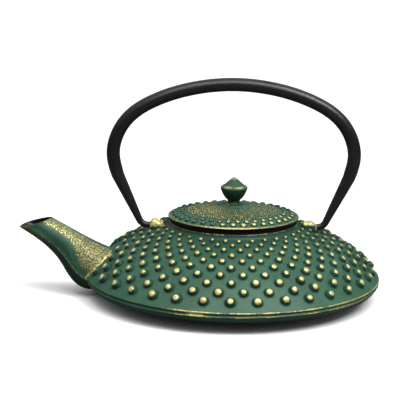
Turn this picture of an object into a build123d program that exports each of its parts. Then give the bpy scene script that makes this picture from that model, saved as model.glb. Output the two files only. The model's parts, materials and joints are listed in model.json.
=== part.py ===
from build123d import *
from math import degrees
import os

# A low cast iron teapot. Millimetres, +Z up, origin on the pot's axis in the foot plane.
# The spout points towards -X and the handle's hinge line is parallel to X.

# Pot: the casting's main sizes
BODY_R = 95.2
RIM_TOP_Z = 14.6
RIM_LOW_Z = 12.2
RIM_GROOVE = 0.7
RIM_EDGE_R = BODY_R - 0.3
UNDERSIDE_END = (88.0, 7.1)
BELLY = (92.9, 8.7)
FOOT_R = 56.0
FOOT_INNER_R = 50.5
FOOT_RISE = 1.8
WALL = 3.2

# Points on the shoulder between the rim and the collar, and on the inside from floor to neck
SHOULDER = [(80.0, 29.2), (64.0, 39.2)]
SHOULDER_INSIDE = [(78.0, 26.5), (62.6, 36.2)]
FLOOR_END = (86.8, 10.2)
FLOOR_CORNER = (90.3, 12.0)

# Mouth of the pot: collar, raised lip for the lid, ledge for the infuser
COLLAR_R = 41.8
COLLAR_Z = 51.0
COLLAR_FLARE = 1.7
COLLAR_FOOT_Z = 47.6
LIP_R = 39.8
LIP_Z = 53.4
LEDGE_OUTER_R = 38.3
LEDGE_INNER_R = 35.2
LEDGE_Z = 51.2
NECK_BOTTOM_Z = 43.6
SEAT_GAP = 0.05

# Spout, in the plane of symmetry: mouth first, root last
SPOUT_LOWER = [(-139.3, 44.3), (-124.6, 34.4), (-113.4, 22.6), (-105.6, 10.4), (-96.5, 4.1), (-84.0, 5.6)]
SPOUT_UPPER = [(-119.5, 49.5), (-104.8, 41.0), (-90.0, 33.4), (-77.0, 29.0)]
SPOUT_MOUTH_HALF_WIDTH = 8.2
SPOUT_ROOT_HALF_WIDTH = 18.0
SPOUT_WIDENING = 1.2        # above 1, the spout widens mostly near its root
SPOUT_CHINE = 0.3           # share of the height that lies below the widest line
SPOUT_WALL = 2.6
SPOUT_STATIONS = 7

# Handle and its hinge: half of its centre line, from the top of the crown to the pin
HINGE_Z = 47.0
PIN_R = 2.1
PIN_CLEARANCE = 0.08
PIN_TIP_X = 44.8
HOLE_END_X = 44.0
EAR_INNER_X = 45.6
EAR_OUTER_X = 54.6
EAR_R = 4.2
EAR_ROOT_Z = 41.0
GRIP_R = 4.35
HOOK_R = 2.15
ELBOW_RADIUS = 4.5
CROWN = (0.0, 140.2)
CROWN_END = (50.7, 129.6)
WIDEST = (78.0, 94.0)
KNEE = (75.0, 80.2)
ELBOW = (59.1, HINGE_Z)

# Lid
LID_R = 42.6
LID_EDGE_Z = 55.0
LID_EDGE_THICKNESS = 2.0
LID_EDGE_INSET = 1.0
LID_EDGE_SLOPE = (-1, 0.3)
LID_TOP_Z = 60.9
LID_THICKNESS = 2.8
LID_HOLLOW = 0.8            # how far the underside dips halfway out
SKIRT_R = 33.4
SKIRT_THICKNESS = 2.0
SKIRT_BOTTOM_Z = 47.2
BOSS_R = 7.6
BOSS_RISE = 0.8

# Knob and its rivet
KNOB_FOOT_R = 5.4
KNOB_NECK_R = 3.8
KNOB_R = 8.7
KNOB_NECK_Z = 64.2
KNOB_WIDEST_Z = 72.4
KNOB_BOWL = (7.1, 68.1)
KNOB_TIP_Z = 79.4
KNOB_TIP_R = 1.6
KNOB_TIP_DROP = 0.5
KNOB_BROW_Z = [KNOB_WIDEST_Z - 0.6, KNOB_WIDEST_Z + 0.2, KNOB_WIDEST_Z + 1]
KNOB_BROW_R = [KNOB_R, KNOB_R + 0.05, KNOB_R - 0.4]
KNOB_NECK_CURVE = 0.6
RIVET_R = 1.6
RIVET_DEPTH = 6.0
RIVET_HEAD_R = 4.2
RIVET_HEAD_RISE = 1.4
RIVET_HEAD_GAP = 0.3
RIVET_HEAD_TAPER = 30

# Infuser
SHEET = 0.6
MESH = 0.5
INFUSER_RIM_R = 37.9
INFUSER_SKIRT_R = 34.6
INFUSER_SKIRT_BOTTOM_Z = 45.0
MESH_TOP_Z = 46.8
MESH_BOTTOM_R = 31.4
INFUSER_BOTTOM_Z = 12.4
BASE_BAND_HEIGHT = 3.0
BASE_FLANGE = 3.5
SEAM_WIDTH = 6.0


def spout_section(share, inset):
    """The face across the spout at a share of the way from mouth to root."""
    low = spout_lower @ share
    up = (spout_upper @ share - low).normalized()
    height = (spout_upper @ share - low).length - 2 * inset
    drop = SPOUT_CHINE * height
    widening = (SPOUT_ROOT_HALF_WIDTH - SPOUT_MOUTH_HALF_WIDTH) * share**SPOUT_WIDENING
    half_width = SPOUT_MOUTH_HALF_WIDTH + widening - inset
    across = Plane(origin=low + up * (inset + drop), x_dir=(0, 1, 0), z_dir=Vector(0, 1, 0).cross(up))
    with BuildSketch(across) as section:
        with BuildLine():
            EllipticalCenterArc((0, 0), half_width, height - drop, arc_size=180)
            ThreePointArc((-half_width, 0), (0, -drop), (half_width, 0))
        make_face()
    return section.sketch.face()


def spout_sections(inset):
    """The sections of the spout's outside, or of its bore when inset by the wall."""
    return [spout_section(station / (SPOUT_STATIONS - 1), inset) for station in range(SPOUT_STATIONS)]


# ---- pot_body: shell, collar, foot, spout and handle ears, cast in one piece ----

with BuildLine(Plane.XZ):
    spout_lower = Spline(*SPOUT_LOWER)

with BuildLine(Plane.XZ):
    spout_upper = Spline(*SPOUT_UPPER)

with BuildPart() as pot_body:
    with BuildSketch(Plane.XZ):
        with BuildLine():
            underside = Polyline(
                (0, FOOT_RISE), (FOOT_INNER_R, FOOT_RISE), (FOOT_INNER_R + FOOT_RISE, 0), (FOOT_R, 0),
                (FOOT_R + 1, FOOT_RISE), UNDERSIDE_END,
            )
            belly = ThreePointArc(underside @ 1, BELLY, (RIM_EDGE_R, RIM_LOW_Z))
            groove = ThreePointArc(
                belly @ 1, (BODY_R - RIM_GROOVE, (RIM_LOW_Z + RIM_TOP_Z) / 2), (BODY_R, RIM_TOP_Z)
            )
            shoulder = Spline(groove @ 1, *SHOULDER, (COLLAR_R + COLLAR_FLARE, COLLAR_FOOT_Z))
            Polyline(
                shoulder @ 1, (COLLAR_R, COLLAR_Z), (LIP_R, COLLAR_Z), (LIP_R, LIP_Z), (0, LIP_Z), (0, FOOT_RISE),
            )
        make_face()
    revolve(axis=Axis.Z)
    loft(sections=spout_sections(0))
    with BuildSketch(Plane.YZ.offset(EAR_INNER_X)):
        with Locations((0, HINGE_Z)):
            Circle(EAR_R)
        with Locations((0, (HINGE_Z + EAR_ROOT_Z) / 2)):
            Rectangle(2 * EAR_R, HINGE_Z - EAR_ROOT_Z)
    ear_block = extrude(amount=EAR_OUTER_X - EAR_INNER_X)
    mirror(ear_block, about=Plane.YZ)
    with BuildSketch(Plane.XZ):
        with BuildLine():
            floor = Polyline((0, FOOT_RISE + WALL), (FOOT_R, FOOT_RISE + WALL), FLOOR_END)
            corner = ThreePointArc(floor @ 1, FLOOR_CORNER, (BODY_R - WALL - RIM_GROOVE, RIM_TOP_Z))
            inside = Spline(corner @ 1, *SHOULDER_INSIDE, (LEDGE_INNER_R, NECK_BOTTOM_Z))
            Polyline(
                inside @ 1, (LEDGE_INNER_R, LEDGE_Z), (LEDGE_OUTER_R, LEDGE_Z), (LEDGE_OUTER_R, LIP_Z),
                (0, LIP_Z), floor @ 0,
            )
        make_face()
    revolve(axis=Axis.Z, mode=Mode.SUBTRACT)
    loft(sections=spout_sections(SPOUT_WALL), mode=Mode.SUBTRACT)
    with BuildSketch(Plane.YZ.offset(HOLE_END_X)):
        with Locations((0, HINGE_Z)):
            Circle(PIN_R + PIN_CLEARANCE)
    pin_hole = extrude(amount=EAR_OUTER_X - HOLE_END_X, mode=Mode.PRIVATE)
    add(pin_hole, mode=Mode.SUBTRACT)
    add(pin_hole.mirror(Plane.YZ), mode=Mode.SUBTRACT)


# ---- lid, with its knob riveted on ----

BOSS_Z = LID_TOP_Z + BOSS_RISE
SKIRT_INNER_R = SKIRT_R - SKIRT_THICKNESS
LID_SEAT_Z = LIP_Z + SEAT_GAP
LID_EDGE_TOP_Z = LID_EDGE_Z + LID_EDGE_THICKNESS / 2
RIVET_HEAD_Z = LID_TOP_Z - LID_THICKNESS - RIVET_HEAD_GAP

with BuildPart() as lid:
    with BuildSketch(Plane.XZ):
        with BuildLine():
            boss = Polyline((0, BOSS_Z), (BOSS_R, BOSS_Z), (BOSS_R + BOSS_RISE, LID_TOP_Z - BOSS_RISE / 4))
            dome = TangentArc((LID_R - LID_EDGE_INSET, LID_EDGE_TOP_Z), boss @ 1, tangent=LID_EDGE_SLOPE)
            edge = ThreePointArc(
                dome @ 0, (LID_R, LID_EDGE_Z), (LID_R - LID_EDGE_INSET, LID_EDGE_Z - LID_EDGE_THICKNESS / 2)
            )
            seat = Polyline(
                edge @ 1, (LIP_R + LID_EDGE_INSET, LID_SEAT_Z), (SKIRT_R, LID_SEAT_Z), (SKIRT_R, SKIRT_BOTTOM_Z),
                (SKIRT_INNER_R, SKIRT_BOTTOM_Z), (SKIRT_INNER_R, LID_EDGE_Z),
            )
            ThreePointArc(
                seat @ 1, (SKIRT_INNER_R / 2, LID_TOP_Z - LID_THICKNESS - LID_HOLLOW), (0, LID_TOP_Z - LID_THICKNESS)
            )
            Line((0, LID_TOP_Z - LID_THICKNESS), (0, BOSS_Z))
        make_face()
    revolve(axis=Axis.Z)
    with Locations((0, 0, BOSS_Z)):
        Hole(RIVET_R)

with BuildPart() as knob:
    with BuildSketch(Plane.XZ):
        with BuildLine():
            foot = Line((0, BOSS_Z), (KNOB_FOOT_R, BOSS_Z))
            flare = Spline(
                foot @ 1, (KNOB_NECK_R, KNOB_NECK_Z),
                tangents=((-0.2, 1), (0, 1)), tangent_scalars=(KNOB_NECK_CURVE, KNOB_NECK_CURVE),
            )
            brow = ThreePointArc(*zip(KNOB_BROW_R, KNOB_BROW_Z))
            ThreePointArc(flare @ 1, KNOB_BOWL, brow @ 0)
            tip = TangentArc((0, KNOB_TIP_Z), (KNOB_TIP_R, KNOB_TIP_Z - KNOB_TIP_DROP), tangent=(1, 0))
            Line(brow @ 1, tip @ 1)
            Line(tip @ 0, foot @ 0)
        make_face()
    revolve(axis=Axis.Z)
    with BuildSketch(Plane.XY.offset(BOSS_Z)):
        Circle(RIVET_R)
    extrude(amount=RIVET_DEPTH, mode=Mode.SUBTRACT)

with BuildPart() as knob_rivet:
    with BuildSketch(Plane.XY.offset(RIVET_HEAD_Z)):
        Circle(RIVET_R)
    extrude(amount=BOSS_Z + RIVET_DEPTH - RIVET_HEAD_Z)
    with BuildSketch(Plane.XY.offset(RIVET_HEAD_Z)):
        Circle(RIVET_HEAD_R)
    extrude(amount=-RIVET_HEAD_RISE, taper=RIVET_HEAD_TAPER)


# ---- handle: crown, shoulder and knee are one bent bar that tapers down to two hooked pins ----

with BuildPart() as handle:
    with BuildLine(Plane.XZ):
        crown = TangentArc(CROWN, CROWN_END, tangent=(1, 0))
        Spline(CROWN_END, WIDEST, KNEE, tangents=(crown % 1, (ELBOW[0] - KNEE[0], ELBOW[1] - KNEE[1])))
    with BuildSketch(Plane.YZ):
        with Locations((0, CROWN[1])):
            Circle(GRIP_R)
    sweep()
    with BuildLine(Plane.XZ) as hook_line:
        FilletPolyline(KNEE, ELBOW, (PIN_TIP_X, HINGE_Z), radius=ELBOW_RADIUS)
    leg, bend, pin = hook_line.edges().sort_by(Axis.Z, reverse=True)
    with BuildSketch(Plane(origin=leg @ 0, z_dir=leg % 0)):
        Circle(GRIP_R)
    with BuildSketch(Plane(origin=leg @ 1, z_dir=leg % 1)):
        Circle(HOOK_R)
    loft()
    with BuildSketch(Plane(origin=bend @ 0, z_dir=bend % 0)):
        Circle(HOOK_R)
    sweep(path=bend)
    with BuildSketch(Plane(origin=pin @ 0, z_dir=pin % 0)):
        Circle(PIN_R)
    extrude(amount=pin.length)
    mirror(about=Plane.YZ)


# ---- infuser: rim ring, mesh wall with its seam strip, mesh floor and base ring ----

MESH_TOP_R = INFUSER_SKIRT_R - SHEET
BASE_R = MESH_BOTTOM_R + SHEET
FLOOR_Z = INFUSER_BOTTOM_Z + SHEET
BAND_TOP_Z = FLOOR_Z + BASE_BAND_HEIGHT
RIM_SEAT_Z = LEDGE_Z + SEAT_GAP


def ring(outer_r, inner_r, low_z, high_z):
    """Extrude a plain ring about the pot's axis."""
    with BuildPart() as plain_ring:
        with BuildSketch(Plane.XY.offset(low_z)):
            Circle(outer_r)
            Circle(inner_r, mode=Mode.SUBTRACT)
        extrude(amount=high_z - low_z)
    return plain_ring.part


with BuildPart() as infuser_rim:
    add(ring(INFUSER_RIM_R, MESH_TOP_R, RIM_SEAT_Z, RIM_SEAT_Z + SHEET))
    add(ring(INFUSER_SKIRT_R, MESH_TOP_R, INFUSER_SKIRT_BOTTOM_Z, RIM_SEAT_Z))

with BuildPart() as infuser_wall_mesh:
    with BuildSketch(Plane.XZ):
        with BuildLine():
            outside = Polyline(
                (MESH_BOTTOM_R, FLOOR_Z), (MESH_BOTTOM_R, BAND_TOP_Z), (MESH_TOP_R, INFUSER_SKIRT_BOTTOM_Z),
                (MESH_TOP_R, MESH_TOP_Z),
            )
            Polyline(
                outside @ 1, (MESH_TOP_R - MESH, MESH_TOP_Z), (MESH_TOP_R - MESH, INFUSER_SKIRT_BOTTOM_Z),
                (MESH_BOTTOM_R - MESH, BAND_TOP_Z), (MESH_BOTTOM_R - MESH, FLOOR_Z), outside @ 0,
            )
        make_face()
    revolve(axis=Axis.Z)

with BuildPart() as infuser_seam_strip:
    with BuildSketch(Plane.XZ):
        with BuildLine():
            Polyline(
                (MESH_BOTTOM_R, BAND_TOP_Z), (MESH_TOP_R, INFUSER_SKIRT_BOTTOM_Z),
                (INFUSER_SKIRT_R, INFUSER_SKIRT_BOTTOM_Z), (BASE_R, BAND_TOP_Z), close=True,
            )
        make_face()
    revolve(axis=Axis.Z, revolution_arc=degrees(SEAM_WIDTH / MESH_TOP_R))

with BuildPart() as infuser_floor_mesh:
    with BuildSketch(Plane.XY.offset(FLOOR_Z)):
        Circle(MESH_BOTTOM_R - MESH)
    extrude(amount=MESH)

with BuildPart() as infuser_base_ring:
    add(ring(BASE_R, MESH_BOTTOM_R, FLOOR_Z, BAND_TOP_Z))
    add(ring(BASE_R, BASE_R - BASE_FLANGE, INFUSER_BOTTOM_Z, FLOOR_Z))


os.makedirs("parts", exist_ok=True)
for name, piece in {
    "pot_body": pot_body,
    "lid": lid,
    "knob": knob,
    "knob_rivet": knob_rivet,
    "handle": handle,
    "infuser_rim": infuser_rim,
    "infuser_wall_mesh": infuser_wall_mesh,
    "infuser_seam_strip": infuser_seam_strip,
    "infuser_floor_mesh": infuser_floor_mesh,
    "infuser_base_ring": infuser_base_ring,
}.items():
    piece.part.label = name
    export_step(piece.part, f"parts/{name}.step")
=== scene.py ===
"""Cast iron teapot: the looks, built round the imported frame.

Metres in the scene, millimetres in the outlines. +Z up, the pot's axis is the Z axis, the
spout points along -X and the handle swings about a line parallel to X.
"""
import json
import math
import random

import bmesh
import bpy
import numpy as np
from mathutils import Matrix, Vector, noise


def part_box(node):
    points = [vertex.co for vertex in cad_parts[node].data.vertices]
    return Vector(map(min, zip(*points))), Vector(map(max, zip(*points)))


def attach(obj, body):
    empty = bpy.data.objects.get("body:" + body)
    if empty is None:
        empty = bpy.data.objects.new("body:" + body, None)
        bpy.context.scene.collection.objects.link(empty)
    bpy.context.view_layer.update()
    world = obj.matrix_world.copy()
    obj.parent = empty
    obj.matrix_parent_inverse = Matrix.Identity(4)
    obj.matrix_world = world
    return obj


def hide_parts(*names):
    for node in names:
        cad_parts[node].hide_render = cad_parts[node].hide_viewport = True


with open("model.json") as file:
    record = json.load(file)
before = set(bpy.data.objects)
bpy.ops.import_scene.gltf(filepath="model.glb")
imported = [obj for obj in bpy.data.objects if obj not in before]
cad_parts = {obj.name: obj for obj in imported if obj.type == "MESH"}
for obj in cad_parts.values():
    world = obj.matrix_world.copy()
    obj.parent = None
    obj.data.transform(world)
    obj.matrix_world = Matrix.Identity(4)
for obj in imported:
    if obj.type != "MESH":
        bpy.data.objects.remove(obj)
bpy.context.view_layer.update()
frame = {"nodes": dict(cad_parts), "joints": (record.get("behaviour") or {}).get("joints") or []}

MM = 0.001
RNG = random.Random(11)
FRONT = -math.pi / 2  # the azimuth that faces the camera

# ---- sizes that the frame gives, in millimetres ----

def node_box(node):
    """A CAD node's low and high corners."""
    return [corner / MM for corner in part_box(node)]


POT_LOW, POT_HIGH = node_box("pot_body")
LID_LOW, LID_HIGH = node_box("lid")
KNOB_HIGH = node_box("knob")[1]
HANDLE_HIGH = node_box("handle")[1]
RIM_LOW = node_box("infuser_rim")[0]
WALL_LOW, WALL_HIGH = node_box("infuser_wall_mesh")
FLOOR_LOW, FLOOR_HIGH = node_box("infuser_floor_mesh")
HINGE = next(joint for joint in frame["joints"] if joint["name"] == "handle_swing")
HINGE_Z = HINGE["pos_m"][2] / MM

RIM_PROUD = 0.7  # how far the cast rim stands out past the plain one in the frame
BODY_R = POT_HIGH.x + RIM_PROUD
LIP_Z = POT_HIGH.z
SPOUT_TIP_X = POT_LOW.x
LID_R = LID_HIGH.x
BOSS_Z = LID_HIGH.z
KNOB_R = KNOB_HIGH.x
KNOB_TIP_Z = KNOB_HIGH.z
GRIP_R = HANDLE_HIGH.y

# ---- the pot's outline ----

RIM_TOP_Z = 14.6
RIM_LOW_Z = 12.2
RIM_GROOVE = 0.7
UNDERSIDE_END = (88.0, 7.1)
BELLY = (92.9, 8.7)
SHOULDER = [(80.0, 29.2), (64.0, 39.2)]
SHOULDER_INSIDE = [(78.0, 26.5), (62.6, 36.2)]
FLOOR_END = (86.8, 10.2)
FLOOR_CORNER = (90.3, 12.0)
FOOT_R = 56.0
FOOT_WIDTH = 5.5
FOOT_RISE = 1.8
WALL = 3.2
COLLAR_R = 41.8
COLLAR_Z = 51.0
COLLAR_FOOT = (43.5, 47.6)
LIP_R = 39.8
LEDGE_R = 35.2
LEDGE_Z = 51.2
LEDGE_OUTER_R = 38.3
NECK_Z = 43.6

# ---- studs on the shoulder: ring k lies FIRST + PITCH k + GROWTH k^2 out from the collar ----

STUD_RINGS = 10
STUDS_PER_RING = 34
STUD_COLUMNS = 28  # mesh columns for each stud
STUD_FIRST = 1.6
STUD_PITCH = 4.82
STUD_PITCH_GROWTH = 0.120
STUD_D = 3.2  # stud diameter in the first ring
STUD_D_GROWTH = 0.34
STUD_RISE = 0.51  # height as a share of the diameter
STUD_TURN = -0.137  # how far the whole pattern is turned, in pitches
CAP_SHIFT = 0.16  # how far downhill of a stud's middle its gold sits, as a share of its radius
SHADE_SHIFT = 0.10  # the same for the painted shadow round its foot
STUD_CAP = 0.60  # how far the gold reaches down a stud, as a share of its radius
STUD_SCATTER = 0.016  # how uneven the spacing is, as a share of the pitch or the diameter
STUD_GOLD = 0.95
EAR_CLEAR_X = 58.0  # no studs within these distances of an ear
EAR_CLEAR_Y = 5.6
SPOUT_CLEAR_X = -73.0  # the spout's root begins here,
SPOUT_CLEAR_Y = 6.0  # keeps this half width free of studs,
SPOUT_CLEAR_FLARE = 0.75  # and widens this fast
UPPER_SHADE = 0.60  # how much shade is painted high on the shoulder, under the lid


# ---- outline helpers ----

def smooth(low, high, value):
    """0 below low, 1 above high, a smooth step between them."""
    t = np.clip((np.asarray(value, float) - low) / (high - low), 0, 1)
    return t * t * (3 - 2 * t)


def bump(middle, width, value):
    """1 at the middle, falling away over the width."""
    return np.exp(-(((np.asarray(value, float) - middle) / width) ** 2))


def line(start, end, step=1.0):
    """Evenly spaced points from start to end."""
    count = max(1, round(math.dist(start, end) / step))
    return [tuple(np.add(start, np.subtract(end, start) * i / count)) for i in range(count + 1)]


def arc(start, middle, end, count=8):
    """Points on the circle through three points."""
    (ax, ay), (bx, by), (cx, cy) = start, middle, end
    d = 2 * (ax * (by - cy) + bx * (cy - ay) + cx * (ay - by))
    ux = ((ax**2 + ay**2) * (by - cy) + (bx**2 + by**2) * (cy - ay) + (cx**2 + cy**2) * (ay - by)) / d
    uy = ((ax**2 + ay**2) * (cx - bx) + (bx**2 + by**2) * (ax - cx) + (cx**2 + cy**2) * (bx - ax)) / d
    radius = math.dist(start, (ux, uy))
    angles = [math.atan2(y - uy, x - ux) for x, y in (start, middle, end)]
    turn = (angles[2] - angles[0]) % math.tau
    if (angles[1] - angles[0]) % math.tau > turn:
        turn -= math.tau
    steps = [angles[0] + turn * i / count for i in range(count + 1)]
    return [(ux + radius * math.cos(a), uy + radius * math.sin(a)) for a in steps]


def spline(points, count):
    """A natural cubic curve through the points, evenly stepped along the chords."""
    points = np.array(points, float)
    knots = np.concatenate([[0], np.cumsum(np.linalg.norm(np.diff(points, axis=0), axis=1))])
    h = np.diff(knots)
    n = len(points)
    system = np.eye(n)
    right = np.zeros((n, points.shape[1]))
    for i in range(1, n - 1):
        system[i, i - 1:i + 2] = h[i - 1], 2 * (h[i - 1] + h[i]), h[i]
        right[i] = 6 * ((points[i + 1] - points[i]) / h[i] - (points[i] - points[i - 1]) / h[i - 1])
    bend = np.linalg.solve(system, right)
    out = []
    for t in np.linspace(0, knots[-1], count):
        i = min(np.searchsorted(knots, t, side="right") - 1, n - 2)
        a, b = knots[i + 1] - t, t - knots[i]
        value = (bend[i] * a**3 + bend[i + 1] * b**3) / (6 * h[i])
        value += (points[i] / h[i] - bend[i] * h[i] / 6) * a
        value += (points[i + 1] / h[i] - bend[i + 1] * h[i] / 6) * b
        out.append(tuple(value))
    return out


def azimuths(columns):
    """The azimuth of each column of a turned mesh."""
    return np.arange(columns) * math.tau / columns


def degrees_from_front(azimuth):
    """Degrees round from the front, from -180 to 180; the spout is at -90."""
    return np.degrees((azimuth - FRONT + math.pi) % math.tau - math.pi)


def join(*runs):
    """One outline from runs that share their end points."""
    outline = list(runs[0])
    for run in runs[1:]:
        outline += run[1:]
    return outline


def path(points, step):
    """Straight runs through the points."""
    return join(*[line(start, end, step) for start, end in zip(points, points[1:])])


def distance_along(outline):
    """How far along the outline each of its points lies."""
    steps = np.linalg.norm(np.diff(np.array(outline), axis=0), axis=1)
    return np.concatenate([[0], np.cumsum(steps)])


# ---- mesh helpers ----
# Materials read three marks on each vertex: gilt (how much gold was brushed on), inside (black
# enamel) and a painted-shade mark (dark lacquer painted where shade falls, which also browns the
# gold towards rust). The fourth, kept, is 1 where no cut was made.

MARKS = ("gilt", "inside", "pool", "kept")


def link_object(name, data):
    """A new object in the scene."""
    made = bpy.data.objects.new(name, data)
    bpy.context.collection.objects.link(made)
    return made


def new_object(name, vertices, faces, **marks):
    """An object from vertices in millimetres, with its marks."""
    mesh = bpy.data.meshes.new(name)
    mesh.from_pydata([tuple(v) for v in np.asarray(vertices) * MM], [], faces)
    mesh.update()
    for mark in MARKS:
        layer = mesh.attributes.new(mark, "FLOAT", "POINT")
        values = marks.get(mark, 1.0 if mark == "kept" else 0.0)
        layer.data.foreach_set("value", np.broadcast_to(values, len(vertices)).astype(np.float32))
    return link_object(name, mesh)


def revolve(name, outline, columns, lift=None, closed=False, **marks):
    """An outline of (r, z) turned about Z; closed joins its last point to its first.

    lift and each mark are one number, or an array with a row for each outline point and one
    value in it, or a value for each column of the mesh.
    """
    outline = np.array(outline, float)
    shape = (len(outline), columns)
    normals = np.gradient(outline, axis=0)[:, ::-1] * (1, -1)
    normals /= np.linalg.norm(normals, axis=1)[:, None]
    rise = np.broadcast_to(0.0 if lift is None else lift, shape)
    angles = azimuths(columns)
    radius = outline[:, :1] + normals[:, :1] * rise
    height = outline[:, 1:] + normals[:, 1:] * rise
    grid = np.stack([radius * np.cos(angles), radius * np.sin(angles), height], axis=2)
    on_axis = outline[:, 0] < 1e-6
    chosen = np.ones(shape, bool)
    chosen[on_axis, 1:] = False
    numbers = np.cumsum(chosen.ravel()).reshape(shape) - 1
    numbers[on_axis] = numbers[on_axis, :1]
    rows = np.vstack([numbers, numbers[:1]]) if closed else numbers
    faces = []
    for low, high in zip(rows, rows[1:]):
        corners = np.stack([low, np.roll(low, -1), np.roll(high, -1), high], axis=1)
        faces += [list(dict.fromkeys(face)) for face in corners.tolist()]
    flat = {mark: np.broadcast_to(values, shape)[chosen] for mark, values in marks.items()}
    return new_object(name, grid[chosen], faces, **flat)


def loft(name, rings, **marks):
    """A closed solid through rings with the same number of points, capped at both ends.

    Each mark is one number, or a value for each point of each ring.
    """
    count = len(rings[0])
    vertices = [point for ring in rings for point in ring]
    faces = []
    for i in range(len(rings) - 1):
        for j in range(count):
            k = (j + 1) % count
            faces.append([i * count + j, i * count + k, (i + 1) * count + k, (i + 1) * count + j])
    faces.append(list(range(count))[::-1])
    faces.append([(len(rings) - 1) * count + j for j in range(count)])
    flat = {mark: np.ravel(values) for mark, values in marks.items()}
    piece = new_object(name, vertices, faces, **flat)
    face_outwards(piece)
    return piece


def edit(piece, change):
    """Run change(bmesh) on the piece's mesh."""
    bm = bmesh.new()
    bm.from_mesh(piece.data)
    change(bm)
    bm.to_mesh(piece.data)
    bm.free()


def face_outwards(piece):
    """Point every face's normal out of the solid."""
    edit(piece, lambda bm: bmesh.ops.recalc_face_normals(bm, faces=bm.faces))


def apply_modifiers(piece):
    """Bake the piece's modifiers into its mesh."""
    evaluated = piece.evaluated_get(bpy.context.evaluated_depsgraph_get())
    result = bpy.data.meshes.new_from_object(evaluated)
    piece.modifiers.clear()
    piece.data = result


def combine(piece, tool, operation):
    """Boolean the tool into the piece and throw the tool away."""
    cut = piece.modifiers.new("cut", "BOOLEAN")
    cut.operation = operation
    cut.object = tool
    cut.solver = "MANIFOLD"
    apply_modifiers(piece)
    bpy.data.objects.remove(tool)


def mark_cuts(piece):
    """Give each vertex that a cut made the mean marks of its uncut neighbours."""
    def change(bm):
        layers = [bm.verts.layers.float[mark] for mark in MARKS]
        for vertex in bm.verts:
            if vertex[layers[-1]] < 0.5:
                near = [e.other_vert(vertex) for e in vertex.link_edges]
                near = [v for v in near if v[layers[-1]] >= 0.5]
                for layer in layers[:-1]:
                    vertex[layer] = sum(v[layer] for v in near) / max(1, len(near))
    edit(piece, change)


def shade(piece, sharp_angle=40):
    """Smooth shading with hard edges above an angle."""
    def change(bm):
        for face in bm.faces:
            face.smooth = True
        for edge in bm.edges:
            edge.smooth = edge.calc_face_angle(0) < math.radians(sharp_angle)
    edit(piece, change)


def finish_piece(piece, body, slot, material, *nodes):
    """Put the material on, hide the CAD nodes that the piece stands for, and tie the piece to its body;
    slot is not used.
    """
    piece.data.materials.clear()
    piece.data.materials.append(material)
    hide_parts(*nodes)
    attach(piece, body)


# ---- colours: linear red, green, blue and alpha ----

GREEN_DARK = (0.0140, 0.060, 0.0345, 1)
GREEN_LIGHT = (0.0225, 0.082, 0.048, 1)
GREEN_MOTTLE = (0.047, 0.104, 0.053, 1)
GREEN_SPECKLE = (0.080, 0.170, 0.118, 1)
# painted shade: the dark green the lacquer turns where shade falls
GREEN_SHADE = (0.006, 0.022, 0.015, 1)
GOLD_DARK = (0.38, 0.325, 0.105, 1)
GOLD_LIGHT = (0.64, 0.60, 0.275, 1)
GOLD_THIN = (0.26, 0.215, 0.065, 1)
RUST = (0.20, 0.12, 0.035, 1)
ENAMEL_DARK = (0.004, 0.004, 0.004, 1)
ENAMEL_LIGHT = (0.010, 0.010, 0.010, 1)
PAINT_DARK = (0.0035, 0.0035, 0.0037, 1)
PAINT_LIGHT = (0.007, 0.007, 0.0073, 1)
FLOOR_DIM = (0.12, 0.12, 0.12, 1)
FLOOR_DARK = (0.96, 0.96, 0.96, 1)
FLOOR_LIGHT = (0.99, 0.99, 0.99, 1)
WHITE = (1, 1, 1, 1)


# ---- node materials ----

def new_material(name):
    """A material, its node tree and its main shader."""
    material = bpy.data.materials.new(name)
    material.use_nodes = True
    return material, material.node_tree, material.node_tree.nodes["Principled BSDF"]


def plug(node, inputs):
    """Link each input that is given a socket and set the others, by name or number."""
    for key, value in inputs.items():
        if isinstance(value, bpy.types.NodeSocket):
            node.id_data.links.new(value, node.inputs[key])
        else:
            node.inputs[key].default_value = value


def add_node(tree, kind, inputs, **settings):
    """A shader node with its settings and inputs."""
    made = tree.nodes.new("ShaderNode" + kind)
    for name, value in settings.items():
        setattr(made, name, value)
    plug(made, inputs)
    return made


def calc(tree, operation, *values):
    """The result of a maths node."""
    return add_node(tree, "Math", dict(enumerate(values)), operation=operation).outputs[0]


def attribute(tree, name):
    """The value of a mark on the mesh."""
    return add_node(tree, "Attribute", {}, attribute_name=name).outputs["Fac"]


def noise_value(tree, scale, stretch=(1, 1, 1), **inputs):
    """A noise over the object's own coordinates; scale is in cycles per metre."""
    place = add_node(tree, "TexCoord", {}).outputs["Object"]
    place = add_node(tree, "Mapping", {"Vector": place, "Scale": stretch}).outputs[0]
    return add_node(tree, "TexNoise", {"Vector": place, "Scale": scale, **inputs}).outputs["Fac"]


def ease(tree, value, low, high, start=0.0, end=1.0):
    """A smooth step of value from low..high to start..end."""
    inputs = {"Value": value, "From Min": low, "From Max": high, "To Min": start, "To Max": end}
    return add_node(tree, "MapRange", inputs, interpolation_type="SMOOTHSTEP").outputs[0]


def mix(tree, share, first, second):
    """Colour mix: share 0 is first, share 1 is second."""
    return add_node(tree, "Mix", {0: share, 6: first, 7: second}, data_type="RGBA").outputs[2]


def add_bump(tree, shader, layers):
    """Stack bump layers of (height value, depth in metres, strength)."""
    normal = None
    for height, depth, strength in layers:
        inputs = {"Height": height, "Distance": depth, "Strength": strength}
        if normal is not None:
            inputs["Normal"] = normal
        normal = add_node(tree, "Bump", inputs).outputs[0]
    plug(shader, {"Normal": normal})


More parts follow.
